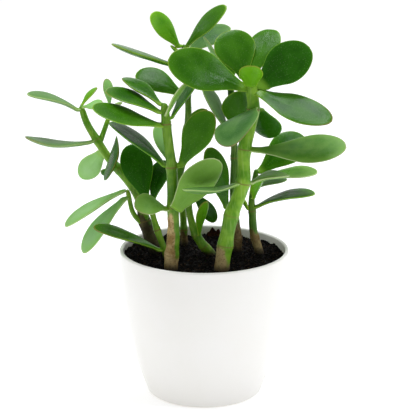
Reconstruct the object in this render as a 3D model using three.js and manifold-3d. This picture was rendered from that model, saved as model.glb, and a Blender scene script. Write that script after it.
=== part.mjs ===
// A jade plant (Crassula ovata) rooted in a plain white ceramic pot.
// Millimetres, +Z up. The origin is the centre of the pot's flat underside.

import * as THREE from 'three';
import { mergeVertices } from 'three/addons/utils/BufferGeometryUtils.js';
import Module from 'manifold-3d';

const wasm = await Module();
wasm.setup();

// ---- Driving dimensions ------------------------------------------------------------------------

// Pot
const POT_HEIGHT = 123;
const POT_RIM_RADIUS = 70;
const POT_BASE_RADIUS = 47.5;
const POT_WALL = 3.3;
const POT_FLOOR = 6;
const BASE_CORNER = 2.5;
// The wall's two control points, as shares of its flare, its rim radius and its height.
const WALL_LOW_FLARE = 0.64;
const WALL_LOW_HEIGHT = 0.29;
const WALL_HIGH_BULGE = 1.015;
const WALL_HIGH_HEIGHT = 0.63;
const ROUND_SEGMENTS = 40;
const OUTSIDE_STEPS = 8;
const INSIDE_STEPS = 7;
const LIP_ANGLES = [45, 90, 135];

// Soil
const SOIL_BELOW_RIM = 9.5;
const SOIL_MOUND = 1.5;
const MOUND_SHOULDER = 0.7;

// Plant
const ROOT_DEPTH = 18;
const NODE_SWELL = 0.12;
const STEM_SIDES = 10;
const STEM_RING_SPACING = 16;
const NODE_RING_OFFSET = 3;
const TIP_ROUNDING = 2;
const TIP_RADIUS_SHARE = 0.55;
const LEAF_THICKNESS = 4.6;
const LEAF_CUP = 0.1;
const LEAF_FLATTER_TOP = 0.15;
const LEAF_FOOT_DEPTH = 0.72;
const LEAF_SIDES = 10;
const LEAF_STEPS = 9;
// Where one leaf's tip points at another leaf's face, it stops short by the thickness of a leaf.
const CROWDED_LEAF_LENGTH = 39.6 - LEAF_THICKNESS;

// Clearances between pieces that touch
const SEAT_GAP = 0.3;
const LEAF_GAP = 0.55;

const SOIL_TOP = POT_HEIGHT - SOIL_BELOW_RIM;

// ---- Stems -------------------------------------------------------------------------------------
// Each route is a list of [x, y, height above the soil]. The thickness runs from the radius at the
// soil to the radius at the tip, and the stem swells at each node, given by its height.

const STEMS = {
  front_right: {
    route: [[14, -36, 0], [17, -34, 22], [22, -33, 47], [31, -31, 73], [32, -29, 99], [39, -27, 133],
      [37, -26, 150], [36.5, -25, 161]],
    radius: [6.3, 4.6],
    nodes: [22, 47, 73, 100, 132],
  },
  front_left: {
    route: [[-27, -31, 0], [-24.5, -32, 34], [-25, -32, 53], [-26, -31, 87], [-28.5, -31, 108],
      [-31.5, -30, 138]],
    radius: [5.6, 3.4],
    nodes: [13, 53, 86, 121],
  },
  left: {
    route: [[-40, 14, 0], [-43, 15, 8], [-50.5, 18, 29], [-52.5, 20, 42], [-57.5, 22, 53],
      [-69, 25, 67.5], [-78, 27, 77], [-90, 30, 95], [-97, 31, 107], [-102.5, 32, 123]],
    radius: [5.6, 2.6],
    nodes: [27, 70, 94],
  },
  left_branch: {
    parent: 'left',
    route: [[-82.5, 33.5, 104], [-79.5, 35, 112], [-77, 36, 124]],
    parentHeight: 97,
    radius: [2.4, 2],
    nodes: [118],
  },
  left_twig: {
    parent: 'left',
    route: [[-60, 15, 38], [-62, 16, 46], [-64, 17, 55]],
    parentHeight: 26,
    radius: [2.2, 2],
    nodes: [52],
  },
  short: {
    route: [[-31, -3, 0], [-36, -2, 17], [-41, 0, 32], [-45.5, 2, 51]],
    radius: [3, 2.6],
    nodes: [25, 46],
  },
  curved: {
    route: [[8, 7, 0], [0, 4, 9], [-6, 5, 18], [-10.5, 7, 30], [-13, 8, 43], [-13.5, 8, 58]],
    radius: [4, 3.2],
    nodes: [9, 19, 50],
  },
  right: {
    route: [[46.5, 13, 0], [43.5, 14, 10], [41, 15, 20], [40, 16, 36], [39, 17, 47], [42, 18, 62],
      [43, 18, 72]],
    radius: [3.9, 2.4],
    nodes: [14, 37, 60],
  },
  inner: {
    route: [[28, 20, 0], [27.5, 19, 14], [25, 16, 36], [24.5, 14, 57], [25, 13, 83], [23.5, 12, 112],
      [21, 12, 150]],
    radius: [4, 2.6],
    nodes: [12, 38, 83, 108],
  },
  back: {
    route: [[-26, 8, 0], [-25.5, 8, 25], [-23, 10, 55], [-17, 16, 85], [-13, 20, 118],
      [-15, 21, 150], [-16.5, 20, 176]],
    radius: [3.7, 2.5],
    nodes: [21, 60, 100, 135, 170],
  },
  back_left: {
    route: [[-17, 36, 0], [-17.5, 35, 15], [-18, 35, 28], [-20.5, 35, 50], [-25, 35, 75]],
    radius: [3.2, 2.6],
    nodes: [15, 44, 70],
  },
};

// ---- Leaves ------------------------------------------------------------------------------------
// up: height of the leaf's foot above the soil, along its stem. heading: compass direction seen
// from above, 0 along +X and 90 along +Y. rise: slope from foot to tip. roll turns the blade about
// its own length. arch bows it upwards, as a share of its length. foot is the width of its foot as a
// share of its full width, and seat is the side of the stem that the foot sits on, if not the heading.

const LEAVES = [
  { on: 'front_right', up: 149, heading: -169, rise: 22, length: 66, width: 34, roll: -60 },
  { on: 'front_right', up: 155, heading: 127, rise: 58, length: 42, width: 34, roll: -24 },
  { on: 'front_right', up: 151, heading: -92, rise: 54, length: 24, width: 19, thick: 3, foot: 0.5,
    widest: 0.52 },
  { on: 'front_right', up: 151, heading: 13, rise: 36, length: 49, width: 34, roll: 56, foot: 0.4,
    widest: 0.52 },
  { on: 'front_right', up: 146, heading: -21, rise: -17, length: 64, width: 29, roll: 30, arch: -0.03,
    foot: 0.34, widest: 0.5 },
  { on: 'front_right', up: 158.5, heading: 63, rise: 43, length: 46, width: 26, roll: 5 },
  { on: 'front_right', up: 132, heading: -111, rise: -25, length: 46, width: 40, roll: 25, arch: 0.1,
    foot: 0.45, widest: 0.52 },
  { on: 'front_right', up: 132, heading: 68, rise: -45, length: 44, width: 28, foot: 0.4 },
  { on: 'front_right', up: 100, heading: -11, rise: 4, length: 75, width: 33, roll: 27, foot: 0.2,
    arch: -0.03, widest: 0.66 },
  { on: 'front_right', up: 73, heading: -142, rise: 4, length: 52, width: 24, roll: 8, arch: -0.05 },
  { on: 'front_right', up: 72, heading: 18, rise: 7, length: 33, width: 20, arch: 0.1 },

  { on: 'front_left', up: 120, heading: -167, rise: 17, length: 57, width: 26, roll: -25, arch: -0.01 },
  { on: 'front_left', up: 130, heading: 168, rise: 20, length: 47, width: 24, roll: -12 },
  { on: 'front_left', up: 136, heading: 140, rise: 23, length: 43, width: 19 },
  { on: 'front_left', up: 128, heading: -20, rise: 57, length: CROWDED_LEAF_LENGTH, width: 14,
    thick: 3.6, seat: -90 },
  { on: 'front_left', up: 125, heading: 24, rise: 52, length: 35, width: 16, thick: 4 },
  { on: 'front_left', up: 86, heading: 160, rise: 34, length: 58, width: 26 },
  { on: 'front_left', up: 87, heading: -6, rise: 61, length: 51, width: 26, roll: 65 },
  { on: 'front_left', up: 52, heading: -160, rise: 10, length: 27, width: 24, roll: -30, arch: 0.12 },
  { on: 'front_left', up: 53, heading: 4, rise: 49, length: 54, width: 30, roll: -70, foot: 0.4,
    widest: 0.56, seat: -80 },

  { on: 'left', up: 119, heading: -167, rise: 20, length: 45, width: 20, roll: -5, arch: 0.07 },
  { on: 'left', up: 122, heading: -27, rise: 11, length: 18, width: 13, roll: 30, thick: 3 },
  { on: 'left', up: 93, heading: -165, rise: 7, length: 57, width: 22, arch: -0.07 },
  { on: 'left', up: 82, heading: 132, rise: -43, length: 40, width: 19, roll: 60, foot: 0.45 },
  { on: 'left', up: 79, heading: -76, rise: 14, length: 34, width: 38, roll: 70, foot: 0.3 },

  { on: 'left_branch', up: 121, heading: 113, rise: 72, length: 23, width: 9, thick: 3.2 },

  { on: 'left_twig', up: 54, heading: -172, rise: -30, length: 58, width: 22, roll: -9 },
  { on: 'left_twig', up: 48, heading: -162, rise: -50, length: 58, width: 25, roll: -12, foot: 0.3 },

  { on: 'short', up: 48, heading: 128, rise: 64, length: 49, width: 27, roll: -25 },
  { on: 'short', up: 48, heading: 57, rise: 60, length: 36, width: 20 },
  { on: 'short', up: 8, heading: -161, rise: 24, length: 62, width: 22, roll: -15 },

  { on: 'right', up: 40, heading: -8, rise: 15, length: 51, width: 22, roll: 8, arch: 0.08 },
  { on: 'right', up: 48, heading: -66, rise: 58, length: 25, width: 15, roll: 20, thick: 3.4 },
  { on: 'right', up: 65, heading: -20, rise: 9, length: 51, width: 24, roll: 10 },
  { on: 'right', up: 69, heading: 24, rise: 33, length: 49, width: 30, roll: 40 },

  { on: 'inner', up: 106, heading: -158, rise: 61, length: 44, width: 24, roll: -40 },
  { on: 'inner', up: 108, heading: -74, rise: 68, length: 38, width: 28, roll: 10 },
  { on: 'inner', up: 146, heading: 95, rise: 52, length: 32, width: 22, thick: 3.8 },
  { on: 'inner', up: 148, heading: -168, rise: 63, length: 41, width: 14, thick: 3.6 },
  { on: 'inner', up: 39, heading: -155, rise: 72, length: 57, width: 22, roll: -80 },

  { on: 'back', up: 174, heading: -158, rise: 50, length: 37, width: 20, roll: -62 },
  { on: 'back', up: 173, heading: -15, rise: 46, length: 50, width: 18, roll: 45, seat: -80 },
  { on: 'back', up: 168, heading: 32, rise: 26, length: 44, width: 24, roll: 20 },
  { on: 'back', up: 157, heading: -170, rise: 20, length: 61, width: 20, arch: -0.01 },
  { on: 'back', up: 133, heading: 165, rise: 23, length: 44, width: 24, roll: -35 },

  { on: 'back_left', up: 72, heading: -5, rise: 66, length: 52, width: 24, roll: 60 },
  { on: 'back_left', up: 71, heading: 144, rise: 66, length: 35, width: 18, roll: -20 },
];

// ---- Materials ---------------------------------------------------------------------------------

function finish(colour, roughness) {
  return new THREE.MeshStandardMaterial({ color: colour, roughness, metalness: 0 });
}

const CERAMIC = finish('#f4f3ef', 0.35);
const POTTING_SOIL = finish('#17130f', 0.95);
const GREEN_STEM = finish('#6f9a35', 0.5);
const LEAF_GREEN = finish('#3f7a22', 0.35);

// ---- Pot and soil ------------------------------------------------------------------------------

// The outside of the wall: it leaves the base at a slant and stands upright by the rim.
const lowRadius = THREE.MathUtils.lerp(POT_BASE_RADIUS, POT_RIM_RADIUS, WALL_LOW_FLARE);
const wallCurve = new THREE.CubicBezierCurve(
  new THREE.Vector2(POT_BASE_RADIUS, 0),
  new THREE.Vector2(lowRadius, POT_HEIGHT * WALL_LOW_HEIGHT),
  new THREE.Vector2(POT_RIM_RADIUS * WALL_HIGH_BULGE, POT_HEIGHT * WALL_HIGH_HEIGHT),
  new THREE.Vector2(POT_RIM_RADIUS, POT_HEIGHT),
);

// Finds where a rising curve passes a height, by halving the interval.
function parameterAtHeight(heightAt, height) {
  const halvings = 40;
  let low = 0;
  let high = 1;
  for (let step = 0; step < halvings; step += 1) {
    const middle = (low + high) / 2;
    if (heightAt(middle) < height) low = middle;
    else high = middle;
  }
  return (low + high) / 2;
}

function outerRadius(height) {
  return wallCurve.getPoint(parameterAtHeight((t) => wallCurve.getPoint(t).y, height)).x;
}

function innerRadius(height) {
  return outerRadius(height) - POT_WALL;
}

// Heights at which the inside of the wall is drawn, from the floor's corner up.
function innerHeights(top) {
  const bottom = POT_FLOOR + BASE_CORNER;
  const closest = POT_WALL / 3;
  const heights = [];
  for (let i = 0; i <= INSIDE_STEPS; i += 1) {
    const height = bottom + ((POT_HEIGHT - bottom) * i) / INSIDE_STEPS;
    if (height < top - closest) heights.push(height);
  }
  return [...heights, top];
}

function lathed(profile) {
  const points = profile.map(([radius, height]) => new THREE.Vector2(radius, height));
  return new THREE.LatheGeometry(points, ROUND_SEGMENTS).rotateX(Math.PI / 2);
}

function potGeometry() {
  const lip = POT_WALL / 2;
  const lipHeight = POT_HEIGHT - lip;
  const profile = [[0, 0], [POT_BASE_RADIUS - BASE_CORNER, 0]];
  const cornerRadius = outerRadius(BASE_CORNER);
  const easing = BASE_CORNER / 4;
  profile.push([(POT_BASE_RADIUS + cornerRadius) / 2 - easing, easing]);
  for (let i = 0; i <= OUTSIDE_STEPS; i += 1) {
    const height = BASE_CORNER + ((lipHeight - BASE_CORNER) * i) / OUTSIDE_STEPS;
    profile.push([outerRadius(height), height]);
  }
  const lipCentre = outerRadius(lipHeight) - lip;
  for (const angle of LIP_ANGLES) {
    const turn = THREE.MathUtils.degToRad(angle);
    profile.push([lipCentre + lip * Math.cos(turn), lipHeight + lip * Math.sin(turn)]);
  }
  for (const height of innerHeights(lipHeight).reverse()) {
    profile.push([innerRadius(height), height]);
  }
  profile.push([innerRadius(POT_FLOOR) - BASE_CORNER, POT_FLOOR], [0, POT_FLOOR]);
  return lathed(profile);
}

function soilGeometry() {
  const bottom = POT_FLOOR + SEAT_GAP;
  const profile = [[0, bottom], [innerRadius(POT_FLOOR) - BASE_CORNER - SEAT_GAP, bottom]];
  for (const height of innerHeights(SOIL_TOP)) {
    profile.push([innerRadius(height) - SEAT_GAP, height]);
  }
  const edge = innerRadius(SOIL_TOP) - SEAT_GAP;
  profile.push([edge * MOUND_SHOULDER, SOIL_TOP + SOIL_MOUND * MOUND_SHOULDER]);
  profile.push([0, SOIL_TOP + SOIL_MOUND]);
  return lathed(profile);
}

// ---- Joining and cutting -----------------------------------------------------------------------

function solidFrom(geometry) {
  const bare = geometry.clone();
  bare.deleteAttribute('normal');
  bare.deleteAttribute('uv');
  const samePlace = 1e-4;
  const merged = mergeVertices(bare, samePlace);
  return new wasm.Manifold(new wasm.Mesh({
    numProp: 3,
    vertProperties: new Float32Array(merged.attributes.position.array),
    triVerts: new Uint32Array(merged.index.array),
  }));
}

function geometryFrom(solid) {
  const mesh = solid.getMesh();
  const geometry = new THREE.BufferGeometry();
  geometry.setAttribute('position', new THREE.BufferAttribute(mesh.vertProperties, 3));
  geometry.setIndex(new THREE.BufferAttribute(mesh.triVerts, 1));
  return geometry;
}

// ---- Stems -------------------------------------------------------------------------------------

function headingVector(heading, rise = 0) {
  const turn = THREE.MathUtils.degToRad(heading);
  const lift = THREE.MathUtils.degToRad(rise);
  return new THREE.Vector3(
    Math.cos(lift) * Math.cos(turn),
    Math.cos(lift) * Math.sin(turn),
    Math.sin(lift),
  );
}

// A stem's centre line in the part's frame, with what is needed to find places along it.
function growStem(name) {
  const spec = STEMS[name];
  const points = spec.route.map(([x, y, up]) => new THREE.Vector3(x, y, SOIL_TOP + up));
  if (spec.parent) {
    points.unshift(branchStart(spec, points[0]));
  } else {
    points.unshift(points[0].clone().setZ(SOIL_TOP - ROOT_DEPTH));
  }
  const curve = new THREE.CatmullRomCurve3(points, false, 'centripetal');
  const first = points[0].z;
  const last = points[points.length - 1].z;
  const radiusAt = (height) => {
    const along = THREE.MathUtils.clamp((height - SOIL_TOP) / (last - SOIL_TOP), 0, 1);
    let radius = THREE.MathUtils.lerp(spec.radius[0], spec.radius[1], along);
    for (const node of spec.nodes) {
      const offset = (height - SOIL_TOP - node) / (spec.radius[0] / 2);
      radius *= 1 + NODE_SWELL * Math.exp(-offset * offset);
    }
    return radius;
  };
  const at = (height) => curve.getPoint(parameterAtHeight((t) => curve.getPoint(t).z, height));
  return { curve, radiusAt, at, first, last, nodes: spec.nodes };
}

// A branch starts on its parent's skin, on the side that it leans to.
function branchStart(spec, towards) {
  const parent = grown(spec.parent);
  const height = SOIL_TOP + spec.parentHeight;
  const centre = parent.at(height);
  const outwards = towards.clone().sub(centre).setZ(0).normalize();
  const reach = parent.radiusAt(height) + LEAF_GAP + spec.radius[0];
  return centre.addScaledVector(outwards, reach);
}

const stemCache = new Map();

function grown(name) {
  if (!stemCache.has(name)) stemCache.set(name, growStem(name));
  return stemCache.get(name);
}

// Heights at which a stem has a ring of points: evenly spaced, with three at each node.
function ringHeights(stem) {
  const fewest = 3;
  const closest = 0.5;
  const nodeReach = NODE_RING_OFFSET * 3;
  const count = Math.max(fewest, Math.round((stem.last - stem.first) / STEM_RING_SPACING));
  const heights = [];
  for (let i = 0; i <= count; i += 1) {
    heights.push(stem.first + ((stem.last - stem.first) * i) / count);
  }
  const kept = heights.filter((height, i) => {
    const isEnd = i === 0 || i === count;
    return isEnd || stem.nodes.every((node) => Math.abs(height - SOIL_TOP - node) > nodeReach);
  });
  for (const node of stem.nodes) {
    for (const offset of [-NODE_RING_OFFSET, 0, NODE_RING_OFFSET]) {
      const height = SOIL_TOP + node + offset;
      if (height < stem.last - TIP_ROUNDING / 2) kept.push(height);
    }
  }
  kept.push(stem.last - TIP_ROUNDING);
  kept.sort((a, b) => a - b);
  return kept.filter((height, i) => i === 0 || height - kept[i - 1] > closest);
}

// The stem as a closed tube with a rounded tip. extra widens it and sinks its foot, for a socket.
function stemGeometry(stem, extra = 0) {
  const heights = ringHeights(stem);
  const tube = new THREE.CylinderGeometry(1, 1, 1, STEM_SIDES, heights.length - 1);
  const position = tube.attributes.position;
  const up = new THREE.Vector3(0, 0, 1);
  const rings = heights.map((height, i) => {
    const t = parameterAtHeight((s) => stem.curve.getPoint(s).z, height);
    const isTip = i === heights.length - 1;
    return {
      centre: stem.curve.getPoint(t),
      turn: new THREE.Quaternion().setFromUnitVectors(up, stem.curve.getTangent(t)),
      radius: stem.radiusAt(height) * (isTip ? TIP_RADIUS_SHARE : 1) + extra,
    };
  });
  rings[0].centre.z -= extra;
  rings[rings.length - 1].centre.z += extra;
  for (let i = 0; i < position.count; i += 1) {
    const level = Math.round((position.getY(i) + 0.5) * (heights.length - 1));
    const ring = rings[level];
    const point = new THREE.Vector3(position.getX(i), -position.getZ(i), 0);
    point.multiplyScalar(ring.radius).applyQuaternion(ring.turn).add(ring.centre);
    position.setXYZ(i, point.x, point.y, point.z);
  }
  return tube;
}

// ---- Leaves ------------------------------------------------------------------------------------

function easeIn(x) {
  return x * x * (3 - 2 * x);
}

// Share of the full width at t, from foot (0) to tip (1): a narrow foot, widest past the middle,
// and a round tip.
function bladeShare(t, foot, widest) {
  if (t < widest) return foot + (1 - foot) * easeIn(t / widest);
  const past = (t - widest) / (1 - widest);
  return Math.sqrt(1 - past * past);
}

// How far the foot stands off the stem's axis, so that its near corner clears the skin.
function standOff(leaf, radius) {
  const rise = THREE.MathUtils.degToRad(leaf.rise);
  const turn = THREE.MathUtils.degToRad(leaf.heading - leaf.seat);
  const firstRing = (leaf.length * (1 - Math.cos(Math.PI / LEAF_STEPS))) / 2;
  const run = firstRing * Math.cos(rise) * Math.cos(turn);
  const roll = THREE.MathUtils.degToRad(leaf.roll);
  const halfThick = (leaf.thick * LEAF_FOOT_DEPTH) / 2;
  const halfWide = (leaf.width * leaf.foot) / 2;
  const corner = halfThick * Math.abs(Math.cos(roll)) + halfWide * Math.abs(Math.sin(roll));
  return radius + LEAF_GAP + Math.max(0, corner * Math.abs(Math.sin(rise)) - run);
}

function leafGeometry(spec) {
  const leaf = {
    roll: 0, arch: 0.04, foot: 0.24, widest: 0.62, thick: LEAF_THICKNESS, seat: spec.heading, ...spec,
  };
  const stem = grown(leaf.on);
  const height = SOIL_TOP + leaf.up;
  const along = headingVector(leaf.heading, leaf.rise);
  const outwards = headingVector(leaf.heading);
  const reach = standOff(leaf, stem.radiusAt(height));
  const start = stem.at(height).addScaledVector(headingVector(leaf.seat), reach);
  const side = new THREE.Vector3(0, 0, 1).cross(outwards).normalize();
  const face = along.clone().cross(side).normalize();
  const roll = THREE.MathUtils.degToRad(leaf.roll);
  side.applyAxisAngle(along, roll);
  face.applyAxisAngle(along, roll);

  const blade = new THREE.SphereGeometry(1, LEAF_SIDES, LEAF_STEPS);
  const position = blade.attributes.position;
  for (let i = 0; i < position.count; i += 1) {
    const t = (1 - position.getY(i)) / 2;
    const ringSize = Math.hypot(position.getX(i), position.getZ(i));
    const isPole = ringSize < Number.EPSILON * LEAF_SIDES;
    const across = isPole ? 0 : position.getX(i) / ringSize;
    const through = isPole ? 0 : position.getZ(i) / ringSize;
    const share = isPole ? 0 : bladeShare(t, leaf.foot, leaf.widest);
    const depth = isPole ? 0 : bladeShare(t, LEAF_FOOT_DEPTH, leaf.widest);
    const halfWidth = (leaf.width / 2) * share;
    const halfThick = (leaf.thick / 2) * depth;
    const bow = 4 * t * (1 - t) * leaf.length;
    const lift = halfThick * (through - LEAF_FLATTER_TOP * through * through)
      + LEAF_CUP * halfWidth * across * across;
    const point = start.clone()
      .addScaledVector(along, t * leaf.length)
      .addScaledVector(side, halfWidth * across)
      .addScaledVector(face, lift + leaf.arch * bow);
    position.setXYZ(i, point.x, point.y, point.z);
  }
  return blade;
}

// ---- Assembly ----------------------------------------------------------------------------------

const group = new THREE.Group();

function add(name, geometry, material) {
  const mesh = new THREE.Mesh(geometry, material);
  mesh.name = name;
  group.add(mesh);
}

add('pot', potGeometry(), CERAMIC);

let soil = solidFrom(soilGeometry());
for (const name of Object.keys(STEMS)) {
  if (!STEMS[name].parent) soil = soil.subtract(solidFrom(stemGeometry(grown(name), SEAT_GAP)));
}
add('soil', geometryFrom(soil), POTTING_SOIL);

for (const name of Object.keys(STEMS)) {
  add(`${name}_stem`, stemGeometry(grown(name)), GREEN_STEM);
}

const leafCount = {};
for (const leaf of LEAVES) {
  leafCount[leaf.on] = (leafCount[leaf.on] ?? 0) + 1;
  add(`${leaf.on}_leaf_${leafCount[leaf.on]}`, leafGeometry(leaf), LEAF_GREEN);
}

export default group;
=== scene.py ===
"""A jade plant in a white ceramic pot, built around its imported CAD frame."""

import math
import random

import bpy
import numpy as np
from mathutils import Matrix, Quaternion, Vector, noise


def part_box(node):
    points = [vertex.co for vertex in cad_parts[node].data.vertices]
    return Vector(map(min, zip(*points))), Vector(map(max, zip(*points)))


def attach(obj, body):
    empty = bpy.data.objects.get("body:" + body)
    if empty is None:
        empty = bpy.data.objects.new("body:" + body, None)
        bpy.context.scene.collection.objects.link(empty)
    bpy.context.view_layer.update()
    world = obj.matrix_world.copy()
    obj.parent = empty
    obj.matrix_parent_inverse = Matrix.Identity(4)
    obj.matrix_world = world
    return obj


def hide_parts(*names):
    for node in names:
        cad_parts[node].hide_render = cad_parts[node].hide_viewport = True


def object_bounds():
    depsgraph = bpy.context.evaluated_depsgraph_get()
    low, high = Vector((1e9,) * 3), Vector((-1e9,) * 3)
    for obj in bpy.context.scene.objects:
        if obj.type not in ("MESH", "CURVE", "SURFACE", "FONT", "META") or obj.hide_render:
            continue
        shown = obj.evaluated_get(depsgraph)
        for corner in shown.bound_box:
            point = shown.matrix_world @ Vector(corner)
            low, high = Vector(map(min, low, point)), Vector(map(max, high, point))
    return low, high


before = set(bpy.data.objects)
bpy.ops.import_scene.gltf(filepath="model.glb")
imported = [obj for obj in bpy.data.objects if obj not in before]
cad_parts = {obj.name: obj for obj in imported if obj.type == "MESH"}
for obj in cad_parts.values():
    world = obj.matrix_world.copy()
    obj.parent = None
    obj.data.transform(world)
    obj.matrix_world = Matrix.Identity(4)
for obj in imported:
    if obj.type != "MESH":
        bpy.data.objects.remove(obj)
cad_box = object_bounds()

MM = 0.001
scene = bpy.context.scene


# ---- Camera --------------------------------------------------------------------------------------
# A long lens stands a little over a metre away, straight in front of the pot. It looks down on the
# plant at a slight angle, so that the soil shows inside the rim.

CAMERA_PLACE = Vector((3.1, -1236, 501)) * MM
CAMERA_PITCH = math.radians(15.55)
LENS_LENGTH = 135
SENSOR_WIDTH = 36

camera_data = bpy.data.cameras.new("camera")
camera_data.lens = LENS_LENGTH
camera_data.sensor_width = SENSOR_WIDTH
camera = bpy.data.objects.new("camera", camera_data)
camera.location = CAMERA_PLACE
camera.rotation_euler = (math.pi / 2 - CAMERA_PITCH, 0, 0)
scene.collection.objects.link(camera)
scene.camera = camera


# ---- Studio --------------------------------------------------------------------------------------
# A wide matt opal sheet, lit a little from below, lies under the pot in a room of white light. The
# light is weaker on the viewer's side, which gives a pale pot its edges.

FLOOR_HALF = 6.0
FLOOR_CELLS = 24
OPAL_WHITE = "#f3f3f3"
OPAL_GLOW = 0.34
ROOM_FRONT, ROOM_BACK = 0.5, 1.0
CEILING = 0.8
# Each softbox: its place and its width in metres, its watts and its colour.
SOFTBOXES = {
    "top_softbox": ((0.05, 0.15, 1.45), 0.55, 12.1, "#f4f8ff"),
    "front_softbox": ((1.1, -0.55, 1.2), 0.17, 4.4, "#f0f5ff"),
    "left_softbox": ((-1.2, 0.35, 0.75), 0.3, 1.32, "#f2f8ff"),
}


def linear(hex_colour):
    """An sRGB hex colour as linear red, green, blue and an alpha of 1."""
    parts = [int(hex_colour[i:i + 2], 16) / 255 for i in (1, 3, 5)]
    return (*[p / 12.92 if p <= 0.04045 else ((p + 0.055) / 1.055) ** 2.4 for p in parts], 1.0)


def add_node(tree, kind, inputs=None, **settings):
    """Adds one node. Its inputs are values, or sockets to link from."""
    made = tree.nodes.new(kind)
    for name, value in settings.items():
        setattr(made, name, value)
    for key, value in (inputs or {}).items():
        if isinstance(value, bpy.types.NodeSocket):
            tree.links.new(value, made.inputs[key])
        else:
            made.inputs[key].default_value = value
    return made


def new_material(name):
    material = bpy.data.materials.new(name)
    material.use_nodes = True
    material.node_tree.nodes.clear()
    return material, material.node_tree


def mixed(tree, factor, first, second):
    """The colour between first and second."""
    made = add_node(tree, "ShaderNodeMix", data_type="RGBA", clamp_factor=True)
    for key, value in ((0, factor), (6, first), (7, second)):
        if isinstance(value, bpy.types.NodeSocket):
            tree.links.new(value, made.inputs[key])
        else:
            made.inputs[key].default_value = value
    return made.outputs[2]


def ranged(tree, value, low, high, to_low=0.0, to_high=1.0):
    """value taken smoothly from low..high to to_low..to_high, and held there."""
    made = add_node(tree, "ShaderNodeMapRange", {
        "Value": value, "From Min": low, "From Max": high, "To Min": to_low, "To Max": to_high,
    }, interpolation_type="SMOOTHSTEP")
    return made.outputs["Result"]


def finish_material(tree, shader):
    output = add_node(tree, "ShaderNodeOutputMaterial")
    tree.links.new(shader.outputs[0], output.inputs["Surface"])


def tube_faces(rings, sides):
    """Faces of a closed tube. Its rings' points come first, then its first and its last end."""
    first, last = rings * sides, rings * sides + 1
    top = (rings - 1) * sides
    faces = []
    for k in range(sides):
        after = (k + 1) % sides
        for ring in range(rings - 1):
            a, b = ring * sides, (ring + 1) * sides
            faces.append((a + k, a + after, b + after, b + k))
        faces += [(first, after, k), (last, top + k, top + after)]
    return faces


def closed_mesh(name, points, faces, attributes=None):
    """A smooth closed mesh with its faces outwards, and one number for each point per attribute."""
    points = np.asarray(points, float)
    corner = points[[f[0] for f in faces]]
    volume = 0.0
    for i in range(1, max(len(f) for f in faces) - 1):
        kept = [n for n, f in enumerate(faces) if len(f) > i + 1]
        second = points[[faces[n][i] for n in kept]]
        third = points[[faces[n][i + 1] for n in kept]]
        volume += float(np.einsum("ij,ij->i", corner[kept], np.cross(second, third)).sum())
    if volume < 0:
        faces = [tuple(reversed(f)) for f in faces]
    mesh = bpy.data.meshes.new(name)
    mesh.from_pydata(points.tolist(), [], faces)
    for key, values in (attributes or {}).items():
        stored = mesh.attributes.new(key, "FLOAT", "POINT")
        stored.data.foreach_set("value", np.asarray(values, np.float32))
    mesh.polygons.foreach_set("use_smooth", [True] * len(mesh.polygons))
    mesh.update()
    return mesh


def add_piece(name, mesh, material, nodes=()):
    """Puts a piece on the plant's one body, with the CAD nodes that it stands for."""
    piece = bpy.data.objects.new(name, mesh)
    scene.collection.objects.link(piece)
    piece.data.materials.append(material)
    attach(piece, "root")
    if nodes:
        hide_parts(*nodes)
    return piece


def opal_sheet():
    """Sand-blasted opal acrylic: even and white, with a faint tooth and some light from below."""
    material, tree = new_material("sand-blasted opal acrylic")
    place = add_node(tree, "ShaderNodeTexCoord").outputs["Object"]
    tooth = add_node(tree, "ShaderNodeTexNoise", {"Vector": place, "Scale": 900.0, "Detail": 2.0})
    bump = add_node(tree, "ShaderNodeBump", {
        "Height": tooth.outputs["Fac"], "Strength": 0.1, "Distance": 0.1 * MM,
    })
    shader = add_node(tree, "ShaderNodeBsdfPrincipled", {
        "Base Color": linear(OPAL_WHITE), "Roughness": 0.9, "Specular IOR Level": 0.1,
        "Emission Color": linear("#ffffff"), "Emission Strength": OPAL_GLOW,
        "Normal": bump.outputs["Normal"],
    })
    finish_material(tree, shader)
    return material


floor_mesh = bpy.data.meshes.new("opal_floor")
steps = np.linspace(-FLOOR_HALF, FLOOR_HALF, FLOOR_CELLS + 1)
corners = [(x, y, 0.0) for y in steps for x in steps]
row = FLOOR_CELLS + 1
cells = [(r * row + c, r * row + c + 1, (r + 1) * row + c + 1, (r + 1) * row + c)
         for r in range(FLOOR_CELLS) for c in range(FLOOR_CELLS)]
floor_mesh.from_pydata(corners, [], cells)
floor_mesh.materials.append(opal_sheet())
floor = bpy.data.objects.new("opal_floor", floor_mesh)
scene.collection.objects.link(floor)

world = bpy.data.worlds.new("white room")
world.use_nodes = True
room = world.node_tree
room.nodes.clear()
# The room is darkest behind the camera, and a little dimmer overhead.
direction = add_node(room, "ShaderNodeTexCoord").outputs["Generated"]
split = add_node(room, "ShaderNodeSeparateXYZ", {"Vector": direction})
brightness = ranged(room, split.outputs["Y"], -0.9, 0.35, ROOM_FRONT, ROOM_BACK)
overhead = ranged(room, split.outputs["Z"], 0.25, 0.8, 1.0, CEILING)
strength = add_node(room, "ShaderNodeMath", {0: brightness, 1: overhead}, operation="MULTIPLY")
sky = add_node(room, "ShaderNodeBackground", {
    "Color": linear("#ffffff"), "Strength": strength.outputs[0],
})
room_output = add_node(room, "ShaderNodeOutputWorld")
room.links.new(sky.outputs[0], room_output.inputs["Surface"])
scene.world = world
scene.view_settings.view_transform = "Standard"


def softbox(name, place, size, watts, colour):
    """A square studio lamp that looks at the middle of the plant."""
    lamp_data = bpy.data.lights.new(name, "AREA")
    lamp_data.size = size
    lamp_data.energy = watts
    lamp_data.color = linear(colour)[:3]
    lamp = bpy.data.objects.new(name, lamp_data)
    middle = (cad_box[0] + cad_box[1]) / 2
    lamp.location = place
    lamp.rotation_euler = (middle - Vector(place)).to_track_quat("-Z", "Y").to_euler()
    scene.collection.objects.link(lamp)


for name, setting in SOFTBOXES.items():
    softbox(name, *setting)


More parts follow.
